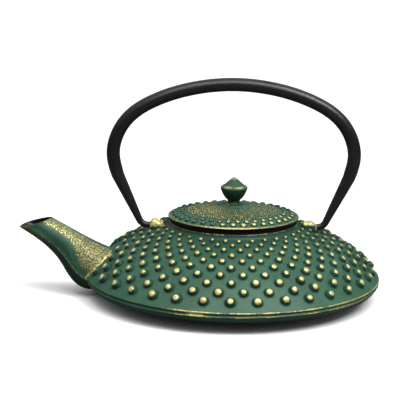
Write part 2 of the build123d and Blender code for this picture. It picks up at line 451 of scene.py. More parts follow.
def make_lacquer():
    """Green lacquer over cast grain: gold where gilt, painted shade and browner gold where the shade mark
    is set, black enamel inside.
    """
    material, tree, shader = new_material("green_lacquer")
    gilt = attribute(tree, "gilt")
    inside = attribute(tree, "inside")
    pool = attribute(tree, "pool")
    cloud = noise_value(tree, 45, Detail=4.0)
    mottle = noise_value(tree, 420, Detail=5.0, Roughness=0.65)
    speckle = noise_value(tree, 1250, Detail=3.0, Roughness=0.6)
    grain = noise_value(tree, 1900, Detail=3.0, Roughness=0.7)

    green = mix(tree, ease(tree, cloud, 0.35, 0.65), GREEN_DARK, GREEN_LIGHT)
    green = mix(tree, ease(tree, mottle, 0.42, 0.7, 0.0, 0.35), green, GREEN_MOTTLE)
    green = mix(tree, ease(tree, speckle, 0.53, 0.70, 0.0, 0.34), green, GREEN_SPECKLE)
    # Painted shade: the green darkens where the shade mark is set.
    green = mix(tree, calc(tree, "MULTIPLY", pool, 0.72), green, GREEN_SHADE)

    rubbed = calc(tree, "MULTIPLY", calc(tree, "SUBTRACT", speckle, 0.5), 0.9)
    worn = calc(tree, "ADD", gilt, rubbed)
    gold_share = ease(tree, worn, 0.47, 0.57)
    thin = ease(tree, worn, 0.34, 0.50, 0.0, 0.20)
    gold = mix(tree, ease(tree, mottle, 0.35, 0.65), GOLD_DARK, GOLD_LIGHT)
    gold = mix(tree, ease(tree, worn, 0.48, 0.66), GOLD_THIN, gold)
    # The shade mark also browns the gold towards rust.
    gold = mix(tree, calc(tree, "MULTIPLY", pool, 0.75), gold, RUST)
    outside = mix(tree, calc(tree, "MAXIMUM", gold_share, thin), green, gold)
    enamel = ease(tree, inside, 0.4, 0.6)
    colour = mix(tree, enamel, outside, mix(tree, mottle, ENAMEL_DARK, ENAMEL_LIGHT))

    bare = calc(tree, "SUBTRACT", 1.0, enamel)
    metal = calc(tree, "MULTIPLY", calc(tree, "MULTIPLY", gold_share, bare), 0.40)
    rough = ease(tree, mottle, 0.3, 0.7, 0.36, 0.52)
    rough = calc(tree, "SUBTRACT", rough, calc(tree, "MULTIPLY", gold_share, 0.08))
    shine = calc(tree, "SUBTRACT", 0.30, calc(tree, "MULTIPLY", pool, 0.20))
    plug(shader, {
        "Base Color": colour, "Metallic": metal, "Roughness": rough, "Specular IOR Level": shine,
    })
    add_bump(tree, shader, [(mottle, 0.0004, 0.35), (grain, 0.00018, 0.4), (gold_share, 0.00006, 0.6)])
    return material


def make_handle_black():
    """Satin black paint with a slight orange peel and faint clouds."""
    material, tree, shader = new_material("satin_black")
    cloud = noise_value(tree, 60, Detail=4.0)
    peel = noise_value(tree, 700, Detail=3.0)
    plug(shader, {
        "Base Color": mix(tree, ease(tree, cloud, 0.35, 0.65), PAINT_DARK, PAINT_LIGHT),
        "Roughness": ease(tree, peel, 0.3, 0.7, 0.27, 0.38),
        "Specular IOR Level": 0.38,
    })
    add_bump(tree, shader, [(peel, 0.00025, 0.30), (cloud, 0.0006, 0.25)])
    return material


def make_steel(name, light, rough, brush):
    """Stainless steel with brush marks: a small number in brush draws them out along that axis."""
    material, tree, shader = new_material(name)
    marks = noise_value(tree, 900, stretch=brush, Detail=4.0, Roughness=0.7)
    stain = noise_value(tree, 70, Detail=3.0)
    dull = (light * 0.8, light * 0.8, light * 0.8, 1)
    bright = (light, light, light * 0.98, 1)
    tea_stain = (light * 0.72, light * 0.66, light * 0.56, 1)
    brushed = mix(tree, ease(tree, marks, 0.3, 0.7), dull, bright)
    plug(shader, {
        "Base Color": mix(tree, ease(tree, stain, 0.45, 0.75, 0.0, 0.35), brushed, tea_stain),
        "Metallic": 1.0,
        "Roughness": ease(tree, marks, 0.3, 0.7, rough, rough + 0.18),
    })
    add_bump(tree, shader, [(marks, 0.00005, 0.4)])
    return material


def make_floor():
    """A plain pale studio floor: it throws little light back up, and fades to white far behind."""
    material, tree, shader = new_material("studio_floor")
    pale = mix(tree, noise_value(tree, 3), FLOOR_DARK, FLOOR_LIGHT)
    seen = add_node(tree, "LightPath", {}).outputs["Is Camera Ray"]
    place = add_node(tree, "TexCoord", {}).outputs["Object"]
    away = add_node(tree, "VectorMath", {0: place}, operation="LENGTH").outputs["Value"]
    plug(shader, {
        "Base Color": mix(tree, seen, FLOOR_DIM, pale),
        "Roughness": 0.9,
        "Emission Color": WHITE,
        "Emission Strength": calc(tree, "MULTIPLY", seen, ease(tree, away, 0.25, 1.2, 0.0, 0.3)),
    })
    return material


lacquer = make_lacquer()
handle_black = make_handle_black()
sheet_steel = make_steel("sheet_steel", 0.62, 0.22, (0.15, 0.15, 1.0))
wire_steel = make_steel("wire_steel", 0.55, 0.30, (1.0, 1.0, 1.0))
rivet_steel = make_steel("rivet_steel", 0.48, 0.28, (1.0, 1.0, 0.2))


# ---- studs ----

def stud_dome(distance):
    """Height share of a stud at a share of its radius: round on top with a crisp foot."""
    return np.sqrt(np.clip(1 - np.minimum(distance, 1) ** 2.4, 0, 1)) * smooth(1.0, 0.9, distance)


def set_studs(outline, columns, along, rings):
    """Lift, gilt and painted shade for revolve(), from rings of studs.

    along is each outline point's distance along the surface. Each ring is a dict with its place
    along the surface, count, phase in pitches, diameter, height, cap (how far down the gold
    reaches), scatter (how uneven the spacing is), gilt(azimuth) and perhaps skip(azimuth).
    """
    radii = np.array(outline)[:, 0]
    angles = azimuths(columns)
    lift, gilt, pool = (np.zeros((len(outline), columns)) for _ in range(3))
    for ring in rings:
        for j in range(ring["count"]):
            azimuth = FRONT + (j + ring["phase"] + STUD_TURN) * math.tau / ring["count"]
            skipped = ring.get("skip") and ring["skip"](azimuth)
            azimuth += RNG.gauss(0, ring["scatter"]) * math.tau / ring["count"]
            place = ring["along"] + RNG.gauss(0, ring["scatter"]) * ring["diameter"]
            radius = ring["diameter"] / 2 * RNG.uniform(0.93, 1.07)
            height = ring["height"] * RNG.uniform(0.85, 1.12)
            cap = ring["cap"] * RNG.uniform(0.88, 1.12)
            if skipped:
                continue
            rows = np.nonzero(np.abs(along - place) < 1.5 * radius)[0]
            if not len(rows):
                continue
            gap = (angles - azimuth + math.pi) % math.tau - math.pi
            cols = np.nonzero(radii[rows].min() * np.abs(gap) < 1.5 * radius)[0]
            around = gap[cols][None, :] * radii[rows][:, None]
            out = (along[rows] - place)[:, None]
            distance = np.hypot(around, out) / radius
            from_cap = np.hypot(around, out - CAP_SHIFT * radius) / radius
            from_pool = np.hypot(around, out - SHADE_SHIFT * radius) / radius
            window = np.ix_(rows, cols)
            lift[window] = np.maximum(lift[window], stud_dome(distance) * height)
            cap_gilt = smooth(cap + 0.22, cap - 0.18, from_cap) * ring["gilt"](azimuth)
            gilt[window] = np.maximum(gilt[window], cap_gilt)
            # Painted shadow: a dark ring round each stud's foot, set a little downhill.
            stud_shadow = smooth(1.45, 1.02, from_pool) * smooth(0.62, 0.95, distance)
            pool[window] = np.maximum(pool[window], stud_shadow)
    return lift, gilt, pool


# ---- pot casting ----

def pot_outline():
    """The outside from the middle of the underside, out to the rim and up to the lip.

    Returned with the number of the shoulder's first point and how many points it has.
    """
    foot_inner = FOOT_R - FOOT_WIDTH
    belly_end = (BODY_R - 0.5, RIM_LOW_Z - 0.4)
    groove_foot = (BODY_R - 0.4, RIM_LOW_Z + 0.35)
    groove_middle = (BODY_R - RIM_GROOVE - 0.2, (RIM_LOW_Z + RIM_TOP_Z) / 2 - 0.05)
    groove_top = (BODY_R - 0.3, RIM_TOP_Z - 0.4)
    shoulder_foot = (BODY_R - 0.35, RIM_TOP_Z + 0.6)
    collar_top = (COLLAR_R, COLLAR_Z - 0.5)
    under = join(
        line((0, FOOT_RISE), (foot_inner, FOOT_RISE), 8),
        arc((foot_inner, FOOT_RISE), (foot_inner + 0.6, 0.6), (foot_inner + FOOT_RISE, 0), 4),
        line((foot_inner + FOOT_RISE, 0), (FOOT_R - 0.6, 0), 1.2),
        arc((FOOT_R - 0.6, 0), (FOOT_R + 0.2, 0.5), (FOOT_R + 1, FOOT_RISE), 4),
        line((FOOT_R + 1, FOOT_RISE), UNDERSIDE_END, 3),
        arc(UNDERSIDE_END, BELLY, belly_end, 8),
    )
    rim = join(
        arc(belly_end, (BODY_R - 0.15, RIM_LOW_Z), groove_foot, 4),
        arc(groove_foot, groove_middle, groove_top, 6),
        arc(groove_top, (BODY_R, RIM_TOP_Z), shoulder_foot, 4),
    )
    shoulder = spline([rim[-1], *SHOULDER, COLLAR_FOOT], 130)
    collar = join(
        arc(COLLAR_FOOT, (COLLAR_R + 0.35, COLLAR_Z - 2), collar_top, 8),
        arc(collar_top, (COLLAR_R - 0.15, COLLAR_Z - 0.1), (COLLAR_R - 0.6, COLLAR_Z), 3),
        line((COLLAR_R - 0.6, COLLAR_Z), (LIP_R + 0.3, COLLAR_Z), 1),
        arc((LIP_R + 0.3, COLLAR_Z), (LIP_R + 0.05, COLLAR_Z + 0.1), (LIP_R, COLLAR_Z + 0.4), 3),
        line((LIP_R, COLLAR_Z + 0.4), (LIP_R, LIP_Z - 0.4), 1),
        arc((LIP_R, LIP_Z - 0.4), (LIP_R - 0.12, LIP_Z - 0.1), (LIP_R - 0.4, LIP_Z), 3),
        line((LIP_R - 0.4, LIP_Z), (0, LIP_Z), 8),
    )
    return join(under, rim, shoulder, collar), len(under) + len(rim) - 2, len(shoulder)


def cavity_outline():
    """The inside, from the middle of the floor to above the mouth."""
    floor_z = FOOT_RISE + WALL
    top_z = LIP_Z + 2
    wall_foot = (BODY_R - WALL - RIM_GROOVE, RIM_TOP_Z)
    return join(
        line((0, floor_z), (FOOT_R, floor_z), 8),
        line((FOOT_R, floor_z), FLOOR_END, 4),
        arc(FLOOR_END, FLOOR_CORNER, wall_foot, 8),
        spline([wall_foot, *SHOULDER_INSIDE, (LEDGE_R, NECK_Z)], 40),
        path([(LEDGE_R, NECK_Z), (LEDGE_R, LEDGE_Z), (LEDGE_OUTER_R, LEDGE_Z), (LEDGE_OUTER_R, top_z)], 2),
        line((LEDGE_OUTER_R, top_z), (0, top_z), 8),
    )


def wander(angles, waves, seed):
    """Smooth noise from -1 to 1 round a circle."""
    return np.array([noise.noise((waves * math.cos(a), waves * math.sin(a), seed)) for a in angles])


def rim_gilt(outline, columns):
    """Broken gold lines on the rim's two edges and on the collar's edge."""
    radii, heights = np.array(outline).T
    angles = azimuths(columns)
    from_front = degrees_from_front(angles)
    broken = 0.68 + 0.30 * wander(angles, 9, 2.0) + 0.18 * wander(angles, 60, 5.0)
    bright_side = np.maximum(smooth(-34, -20, from_front), smooth(-110, -150, from_front))
    broken = broken * (0.35 + 0.65 * bright_side)
    smear = bump(-14.5, 5.5, from_front)
    near_rim = radii > BODY_R - 2.5
    upper = np.where(near_rim, bump(RIM_TOP_Z + 0.2, 0.65, heights), 0)
    lower = np.where(near_rim, bump(RIM_LOW_Z, 0.5, heights), 0)
    above_lower = smooth(RIM_LOW_Z - 0.6, RIM_LOW_Z, heights)
    below_upper = smooth(RIM_TOP_Z + 1.6, RIM_TOP_Z + 0.2, heights)
    between = np.where(near_rim, above_lower * below_upper, 0)
    between_gilt = np.maximum(0.75 * smear, 0.40 * smooth(-30, 10, from_front))
    on_collar = np.where(radii > COLLAR_R - 1, bump(COLLAR_Z - 0.35, 0.55, heights), 0)
    collar = 0.50 + 0.25 * wander(angles, 14, 8.0)
    return np.maximum.reduce([
        upper[:, None] * broken, lower[:, None] * (broken - 0.14),
        between[:, None] * between_gilt, on_collar[:, None] * collar,
    ])


# ---- spout ----

# The keel and the top line, as (x, z) from the mouth to the root.
SPOUT_LOWER = [
    (SPOUT_TIP_X, 44.3), (-124.6, 34.4), (-113.4, 22.6), (-105.6, 10.4), (-96.5, 4.1), (-84.0, 5.6),
]
SPOUT_UPPER = [(-117.8, 50.6), (-104.0, 42.9), (-89.3, 35.2), (-77.0, 29.8)]
SPOUT_STATIONS = 110
SPOUT_SIDES = 128
SPOUT_MOUTH_HALF_WIDTH = 8.2
SPOUT_ROOT_HALF_WIDTH = 18.0
SPOUT_WIDENING = 1.2  # above 1, the spout widens faster towards its root
SPOUT_CHINE = 0.3  # the widest line lies this share of the height above the keel
SPOUT_WALL = 2.6
SPOUT_LIP_WALL = 1.5
ANGLES = azimuths(SPOUT_SIDES)


def spout_frame():
    """Low point, upward unit vector, height and half width at each station from mouth to root."""
    lower = np.array(spline(SPOUT_LOWER, SPOUT_STATIONS))
    upper = np.array(spline(SPOUT_UPPER, SPOUT_STATIONS))
    share = np.linspace(0, 1, SPOUT_STATIONS)
    height = np.linalg.norm(upper - lower, axis=1)
    up = (upper - lower) / height[:, None]
    widening = (SPOUT_ROOT_HALF_WIDTH - SPOUT_MOUTH_HALF_WIDTH) * share**SPOUT_WIDENING
    return lower, up, height, SPOUT_MOUTH_HALF_WIDTH + widening


def spout_ring(station, low, up, height, half_width, inset, ahead=0.0):
    """One section: a tall arch above the chine line and a shallow keel below it.

    inset shrinks it all round, and ahead moves it out past the mouth.
    """
    drop = SPOUT_CHINE * (height[station] - 2 * inset)
    rise = (height[station] - 2 * inset) - drop
    forward = np.array([-up[station][1], up[station][0]])
    middle = low[station] + up[station] * (inset + drop) + forward * ahead
    sine = np.sin(ANGLES)
    tall = np.where(sine >= 0, rise * sine, -drop * np.abs(sine) ** 1.25)
    across = (half_width[station] - inset) * np.cos(ANGLES)
    x, z = middle[:, None] + up[station][:, None] * tall
    return np.stack([x, across, z], axis=1)


def flank_angle():
    """Degrees from the spout's top to each point of a section."""
    return np.abs((np.degrees(ANGLES) - 90 + 180) % 360 - 180)


def gold_edge(share):
    """How far down the flank the gold reaches, in degrees from the top."""
    return 60 + 26 * smooth(0.36, 0.74, share)


def spout_pool(station):
    """Painted shade below the gold, darker on the mouth's edge and over the top near the root, and rust
    low down near the root.
    """
    share = station / (SPOUT_STATIONS - 1)
    from_top = flank_angle()
    edge = gold_edge(share)
    below = smooth(edge - 4, edge + 16, from_top) * (1 - bump(93, 6, from_top))
    below = below * (1 - 0.6 * smooth(0.30, 0.10, share) * smooth(70, 90, from_top))
    rust = bump(72, 16, from_top) * bump(0.72, 0.09, share)
    above = 0.32 * smooth(0.30, 0.60, share)
    at_mouth = 0.8 * smooth(0.03, 0.0, share)
    return np.maximum.reduce([0.9 * below, 0.8 * rust, np.full(SPOUT_SIDES, max(above, at_mouth))])


def spout_gilt(station, ring, shoulder):
    """Gold brushed along the spout's flanks, its chine and its root."""
    share = station / (SPOUT_STATIONS - 1)
    from_top = flank_angle()
    edge = gold_edge(share)
    band = smooth(2, 12, from_top) * smooth(edge + 12, edge - 14, from_top)
    flank = (0.52 - 0.02 * smooth(0.3, 0.7, share)) * band
    chine = 0.64 * bump(92, 3.5, from_top) * smooth(0.2, 0.4, share)
    keel = (0.42 - 0.18 * smooth(0.2, 0.5, share)) * smooth(76, 94, from_top)
    shoulder_r = np.interp(ring[:, 2], shoulder[:, 1], shoulder[:, 0])
    outside = np.hypot(ring[:, 0], ring[:, 1]) - shoulder_r
    root = 0.80 * bump(0, 2.2, outside) * smooth(100, 88, from_top) * smooth(4, 22, from_top)
    return np.maximum.reduce([flank, chine, keel, root])


def make_spout(shoulder):
    """The spout's outside as a closed solid with a softened mouth edge."""
    shape = spout_frame()
    edge = [spout_ring(0, *shape, 0.75, 0.55), spout_ring(0, *shape, 0.25, 0.4)]
    rings = edge + [spout_ring(i, *shape, 0) for i in range(SPOUT_STATIONS)]
    gilt = [spout_gilt(max(0, i - len(edge)), ring, shoulder) for i, ring in enumerate(rings)]
    pool = [spout_pool(max(0, i - len(edge))) for i in range(len(rings))]
    return loft("spout_solid", rings, gilt=gilt, pool=pool)


def make_bore():
    """The space inside the spout, open at the mouth and into the pot."""
    shape = spout_frame()
    share = np.linspace(0, 1, SPOUT_STATIONS)
    walls = SPOUT_LIP_WALL + (SPOUT_WALL - SPOUT_LIP_WALL) * np.clip(share / 0.3, 0, 1)
    mouth = spout_ring(0, *shape, SPOUT_LIP_WALL - 0.6, 2.0)
    rings = [mouth] + [spout_ring(i, *shape, walls[i]) for i in range(SPOUT_STATIONS)]
    return loft("bore_solid", rings, inside=1.0)


# ---- ears ----

EAR_INNER_X = 45.0
EAR_OUTER_X = 54.8
EAR_HALF_WIDTH = 3.7
EAR_TOP_Z = 51.3
EAR_ROOT_Z = 38.5
PIN_HOLE_R = 2.18
PIN_HOLE_SIDES = 32
EAR_STATIONS = 26
EAR_SIDES = 48


def ear_top(side, share):
    """Height of an ear's top at a share of the way out: a wedge on the right, a ball on the left."""
    if side > 0:
        return EAR_TOP_Z - 2.2 * smooth(0.55, 1.0, share)
    hollow = 1.5 * bump(0.30, 0.14, share)
    inner_end = 1.2 * smooth(0.2, 0.0, share)
    outer_end = 1.6 * smooth(0.78, 1.0, share)
    return EAR_TOP_Z - (hollow + inner_end + outer_end)


def make_ear(side, seed):
    """A lumpy cast block on the shoulder, gilt on top and round its outer end, with painted shade below
    its top.
    """
    rings = []
    for i in range(EAR_STATIONS):
        share = i / (EAR_STATIONS - 1)
        x = EAR_INNER_X + (EAR_OUTER_X - EAR_INNER_X) * share
        end = math.sqrt(max(0.0, 1 - abs(2 * share - 1) ** 5))
        top = ear_top(side, share)
        half_height = (top - EAR_ROOT_Z) / 2
        ring = []
        for angle in azimuths(EAR_SIDES):
            c, s = math.cos(angle), math.sin(angle)
            stretch = (abs(c) ** 2.6 + abs(s) ** 2.6) ** (-1 / 2.6)
            lump = 1 + 0.07 * noise.noise((x * 0.35 + seed, c * 1.4, s * 1.4))
            reach = stretch * lump * (0.55 + 0.45 * end)
            y = EAR_HALF_WIDTH * c * reach
            ring.append((side * x, y, top - half_height + half_height * s * reach))
        rings.append(ring)
    x, _, z = np.moveaxis(np.array(rings), 2, 0)
    gold_z = HINGE_Z + (1.4 if side > 0 else -0.6)
    on_top = smooth(gold_z - 0.7, gold_z + 0.7, z)
    at_end = smooth(EAR_OUTER_X - 2.0, EAR_OUTER_X - 1.0, np.abs(x))
    at_end = at_end * smooth(HINGE_Z - 2.5, HINGE_Z - 1, z)
    gilt = 0.66 * np.maximum(on_top, at_end)
    # Painted shade on all but the ear's top.
    return loft("ear_solid", rings, gilt=gilt, pool=1 - 0.75 * on_top)


def make_pin_hole(side):
    """The cylinder that a handle pin turns in."""
    angles = azimuths(PIN_HOLE_SIDES)
    ring = [(PIN_HOLE_R * math.cos(a), HINGE_Z + PIN_HOLE_R * math.sin(a)) for a in angles]
    rings = [[(side * x, y, z) for y, z in ring] for x in (EAR_INNER_X - 1, EAR_OUTER_X + 2)]
    return loft("pin_hole_solid", rings, inside=1.0)


def under_ear_or_spout(radius):
    """A test for studs at a radius that would run into an ear or the root of the spout."""
    def skip(azimuth):
        x, y = radius * math.cos(azimuth), radius * math.sin(azimuth)
        past_root = SPOUT_CLEAR_X - x
        in_spout = past_root > 0 and abs(y) < SPOUT_CLEAR_Y + past_root * SPOUT_CLEAR_FLARE
        in_ear = abs(x) < EAR_CLEAR_X and abs(y) < EAR_CLEAR_Y
        return in_spout or in_ear
    return skip


def shoulder_rings(radii, to_collar):
    """The rings of studs, growing outwards and staggered by half a pitch."""
    rings = []
    for k in range(STUD_RINGS):
        along = STUD_FIRST + STUD_PITCH * k + STUD_PITCH_GROWTH * k * k
        diameter = STUD_D + STUD_D_GROWTH * k
        rings.append({
            "along": along, "count": STUDS_PER_RING, "phase": 0.0 if k % 2 else 0.5,
            "diameter": diameter, "height": STUD_RISE * diameter, "cap": STUD_CAP,
            "scatter": STUD_SCATTER, "gilt": lambda azimuth: STUD_GOLD,
            "skip": under_ear_or_spout(np.interp(along, to_collar[::-1], radii[::-1])),
        })
    return rings


def pot_outside():
    """The body's outside with its studs, and the shoulder's part of the outline."""
    outline, first, count = pot_outline()
    radii, heights = np.array(outline).T
    columns = STUDS_PER_RING * STUD_COLUMNS
    travelled = distance_along(outline)
    to_collar = travelled[first + count - 1] - travelled
    lift, gilt, pool = set_studs(outline, columns, to_collar, shoulder_rings(radii, to_collar))
    gilt = np.maximum(gilt, rim_gilt(outline, columns))
    # Painted shade high on the shoulder, where the lid shadows it.
    pool = np.maximum(pool, UPPER_SHADE * smooth(35, 48, heights)[:, None])
    lip_black = (heights > COLLAR_Z - 0.05)[:, None]
    pot = revolve("pot_casting", outline, columns, lift, gilt=gilt, pool=pool, inside=lip_black)
    return pot, np.array(outline[first - 1:first + count + 1])


def make_pot():
    """The whole casting: body, spout and ears joined, then hollowed and drilled."""
    pot, shoulder = pot_outside()
    combine(pot, make_spout(shoulder), "UNION")
    for side, seed in ((1, 3.0), (-1, 9.0)):
        combine(pot, make_ear(side, seed), "UNION")
    combine(pot, revolve("cavity_solid", cavity_outline(), 256, inside=1.0), "DIFFERENCE")
    combine(pot, make_bore(), "DIFFERENCE")
    for side in (1, -1):
        combine(pot, make_pin_hole(side), "DIFFERENCE")
    mark_cuts(pot)
    shade(pot)
    finish_piece(pot, "pot", "pot_iron", lacquer, "pot_body")


make_pot()


# ---- lid and knob ----

LID_COLUMNS = 1152
LID_EDGE_Z = 53.9
LID_EDGE_HALF = 0.65  # half the edge's thickness
LID_CROWN = [(39.4, 55.0), (36.0, 55.9), (32.0, 56.8), (25.0, 58.1), (16.0, 59.6)]
LID_TILT = math.radians(-1.0)  # a loose cast lid seldom sits quite level: this one dips at the back
LID_UNDER_Z = 58.1
SEAT_GAP = 0.05
SKIRT_R = 33.4
SKIRT_INNER_R = 31.4
BOSS_R = 7.6
BOSS_FOOT_Z = 60.7
RIVET_R = 1.6
LID_STUDS = 36
LID_STUD_R = (38.0, 33.2)  # the lid's two rings of studs: radius, diameter, height and gold
LID_STUD_D = (3.7, 3.2)
LID_STUD_RISE = (1.35, 0.95)
LID_STUD_CAP = (0.72, 0.70)
LID_STUD_SCATTER = 0.02
GRAIN_COUNT = 96
GRAIN_OUTER_R = 29.2
GRAIN_INNER_R = 10.6
GRAIN_D = 0.80  # diameter, height and the step to the next ring, in pitches
GRAIN_RISE = 0.34
GRAIN_STEP = 0.85
GRAIN_CAP = 0.85
GRAIN_SCATTER = 0.13

KNOB_COLUMNS = 160
KNOB_FOOT_R = 5.2
KNOB_FOOT_Z = BOSS_Z - 0.3
KNOB_NECK = (3.8, 64.2)
KNOB_WIDEST_Z = 72.4
RIVET_TOP_Z = 67.7


def lid_outline():
    """From the rivet hole underneath, out round the skirt and edge, and back over the top.

    Returned with how many points lie underneath and how many on top.
    """
    seat_z = LIP_Z + SEAT_GAP + LID_R * math.sin(-LID_TILT)
    skirt_top = (SKIRT_INNER_R, LID_UNDER_Z - 4.5)
    edge_foot = (LID_R - 1, LID_EDGE_Z - LID_EDGE_HALF)
    edge_top = (LID_R - 0.75, LID_EDGE_Z + LID_EDGE_HALF)
    crown_foot = (LID_R - 2.0, LID_EDGE_Z + 0.8)
    boss_foot = (BOSS_R + 1.5, BOSS_FOOT_Z)
    boss_side = (BOSS_R, BOSS_Z - 0.1)
    boss_top = (BOSS_R - 1.2, BOSS_Z - 0.35)
    under = join(
        arc((RIVET_R, LID_UNDER_Z), (SKIRT_INNER_R / 2, LID_UNDER_Z - 1.2), skirt_top, 16),
        line(skirt_top, (SKIRT_INNER_R, LID_LOW.z), 1.5),
        line((SKIRT_INNER_R, LID_LOW.z), (SKIRT_R, LID_LOW.z), 1.0),
        line((SKIRT_R, LID_LOW.z), (SKIRT_R, seat_z), 1.5),
        line((SKIRT_R, seat_z), (LIP_R + 0.6, seat_z), 2.0),
        line((LIP_R + 0.6, seat_z), edge_foot, 0.5),
    )
    edge = join(
        arc(edge_foot, (LID_R, LID_EDGE_Z), edge_top, 12),
        arc(edge_top, (LID_R - 1.3, LID_EDGE_Z + 0.78), crown_foot, 5),
    )
    top = join(
        spline([edge[-1], *LID_CROWN, boss_foot], 191),
        arc(boss_foot, (BOSS_R + 0.5, BOSS_FOOT_Z + 0.4), boss_side, 6),
        arc(boss_side, (BOSS_R - 0.5, BOSS_Z), boss_top, 5),
        line(boss_top, (RIVET_R, boss_top[1]), 1.0),
    )
    return join(under, edge, top), len(under), len(top)


def tilt_with_lid(piece):
    """Turn a piece by the lid's tilt, about the middle of the lid's edge."""
    turn = {"cent": (0, 0, LID_EDGE_Z * MM), "matrix": Matrix.Rotation(LID_TILT, 3, "X")}
    edit(piece, lambda bm: bmesh.ops.rotate(bm, verts=bm.verts, **turn))


def lid_stud_gold(azimuth):
    """Bright gold at the front right, paler green-gold round the left and back."""
    turn = degrees_from_front(azimuth)
    return 0.43 + 0.53 * float(smooth(-22, 4, turn) * smooth(105, 60, turn))


def grain_gold(azimuth):
    """Thin gold, a little stronger at the left and right."""
    turn = degrees_from_front(azimuth)
    return 0.49 + 0.08 * float(bump(-75, 50, turn)) + 0.03 * float(bump(70, 40, turn))


def lid_rings(place):
    """Two rings of studs, then rings of fine grain in to the boss; place turns a radius into along."""
    rings = [
        {
            "along": place(radius), "count": LID_STUDS, "phase": 0.5 * k, "diameter": LID_STUD_D[k],
            "height": LID_STUD_RISE[k], "cap": LID_STUD_CAP[k], "scatter": LID_STUD_SCATTER,
            "gilt": lid_stud_gold,
        }
        for k, radius in enumerate(LID_STUD_R)
    ]
    radius, phase = GRAIN_OUTER_R, 0.0
    while radius > GRAIN_INNER_R:
        pitch = math.tau * radius / GRAIN_COUNT
        rings.append({
            "along": place(radius), "count": GRAIN_COUNT, "phase": phase, "diameter": GRAIN_D * pitch,
            "height": GRAIN_RISE * pitch, "cap": GRAIN_CAP, "scatter": GRAIN_SCATTER, "gilt": grain_gold,
        })
        radius -= GRAIN_STEP * pitch
        phase = 0.5 - phase
    return rings


def make_lid():
    """The lid's casting: studs and grain on top, a gold edge, and black enamel underneath."""
    outline, under_count, top_count = lid_outline()
    radii, heights = np.array(outline).T
    first_top = len(outline) - top_count
    along = distance_along(outline)[-1] - distance_along(outline)

    def place(radius):
        return np.interp(radius, radii[:first_top - 1:-1], along[:first_top - 1:-1])

    lift, gilt, pool = set_studs(outline, LID_COLUMNS, along, lid_rings(place))
    angles = azimuths(LID_COLUMNS)
    edge_gold = 0.50 + 0.32 * bump(0, 26, degrees_from_front(angles)) + 0.12 * wander(angles, 12, 4.0)
    on_edge = np.zeros(len(outline))
    on_edge[under_count + 4:first_top + 6] = 1.0
    on_edge *= bump(LID_EDGE_Z + 0.55, 0.45, heights)
    gilt = np.maximum(gilt, on_edge[:, None] * edge_gold)
    pool = np.maximum(pool, 0.05)
    inside = (radii > LIP_R) & (heights < LID_EDGE_Z + 0.1)
    inside[:under_count] = True
    marks = {"gilt": gilt, "pool": pool, "inside": inside[:, None]}
    lid = revolve("lid_casting", outline, LID_COLUMNS, lift, closed=True, **marks)
    tilt_with_lid(lid)
    shade(lid)
    finish_piece(lid, "lid_and_knob", "lid_iron", lacquer, "lid")


def knob_outline():
    """From the top of the rivet's hole, down it and out, and up over the knob to its tip."""
    foot_edge = (KNOB_FOOT_R, KNOB_FOOT_Z)
    foot_top = (KNOB_FOOT_R, KNOB_FOOT_Z + 0.6)
    widest_foot = (KNOB_R - 0.3, KNOB_WIDEST_Z - 1.0)
    brow_foot = (KNOB_R - 0.75, KNOB_WIDEST_Z + 1.3)
    brow_top = (KNOB_R - 2.4, KNOB_WIDEST_Z + 2.2)
    tip_foot = (1.9, KNOB_TIP_Z - 0.85)
    return join(
        path([(0, RIVET_TOP_Z), (RIVET_R, RIVET_TOP_Z), (RIVET_R, KNOB_FOOT_Z), foot_edge], 1.0),
        arc(foot_edge, (KNOB_FOOT_R + 0.25, KNOB_FOOT_Z + 0.25), foot_top, 4),
        arc(foot_top, (KNOB_FOOT_R - 1.1, KNOB_FOOT_Z + 1.4), KNOB_NECK, 10),
        arc(KNOB_NECK, (7.0, 68.0), widest_foot, 24),
        arc(widest_foot, (KNOB_R, KNOB_WIDEST_Z + 0.15), brow_foot, 10),
        arc(brow_foot, (KNOB_R - 1.5, KNOB_WIDEST_Z + 1.75), brow_top, 5),
        line(brow_top, tip_foot, 0.5),
        arc(tip_foot, (1.0, KNOB_TIP_Z - 0.2), (0, KNOB_TIP_Z), 6),
    )


def knob_gilt(radii, heights, angles):
    """Broken gold on the brow, the tip and the foot."""
    from_front = degrees_from_front(angles)
    brow = bump(KNOB_WIDEST_Z + 1.3, 1.0, heights) * (radii > 5)
    brow_gold = 0.46 + 0.22 * bump(-32, 22, from_front) + 0.22 * bump(30, 20, from_front)
    brow_gold = brow_gold + 0.1 * wander(angles, 4, 1.0)
    tip = smooth(4.2, 1.6, radii) * (heights > KNOB_WIDEST_Z)
    tip_gold = 0.56 + 0.10 * wander(angles, 2, 6.0)
    foot = bump(KNOB_FOOT_Z + 0.7, 0.7, heights) * (radii > 4)
    foot_gold = 0.42 + 0.25 * bump(-55, 30, from_front)
    parts = [(brow, brow_gold), (tip, tip_gold), (foot, foot_gold)]
    return np.maximum.reduce([rows[:, None] * gold for rows, gold in parts])


def make_knob():
    """The knob's casting, with painted shade below its brow, darker lacquer and browner gold all over, and
    the rivet's hole underneath.
    """
    outline = knob_outline()
    radii, heights = np.array(outline).T
    gilt = knob_gilt(radii, heights, azimuths(KNOB_COLUMNS))
    # Painted shade on the bowl below the brow.
    below_brow = smooth(KNOB_WIDEST_Z + 0.4, KNOB_WIDEST_Z - 1.2, heights) * (radii > 3)
    pool = (0.45 + 0.5 * below_brow)[:, None]
    inside = ((radii < RIVET_R + 0.1) & (heights < RIVET_TOP_Z + 0.3))[:, None]
    knob = revolve("knob_casting", outline, KNOB_COLUMNS, gilt=gilt, pool=pool, inside=inside)
    tilt_with_lid(knob)
    shade(knob)
    finish_piece(knob, "lid_and_knob", "knob_iron", lacquer, "knob")


make_lid()
make_knob()


# ---- handle ----

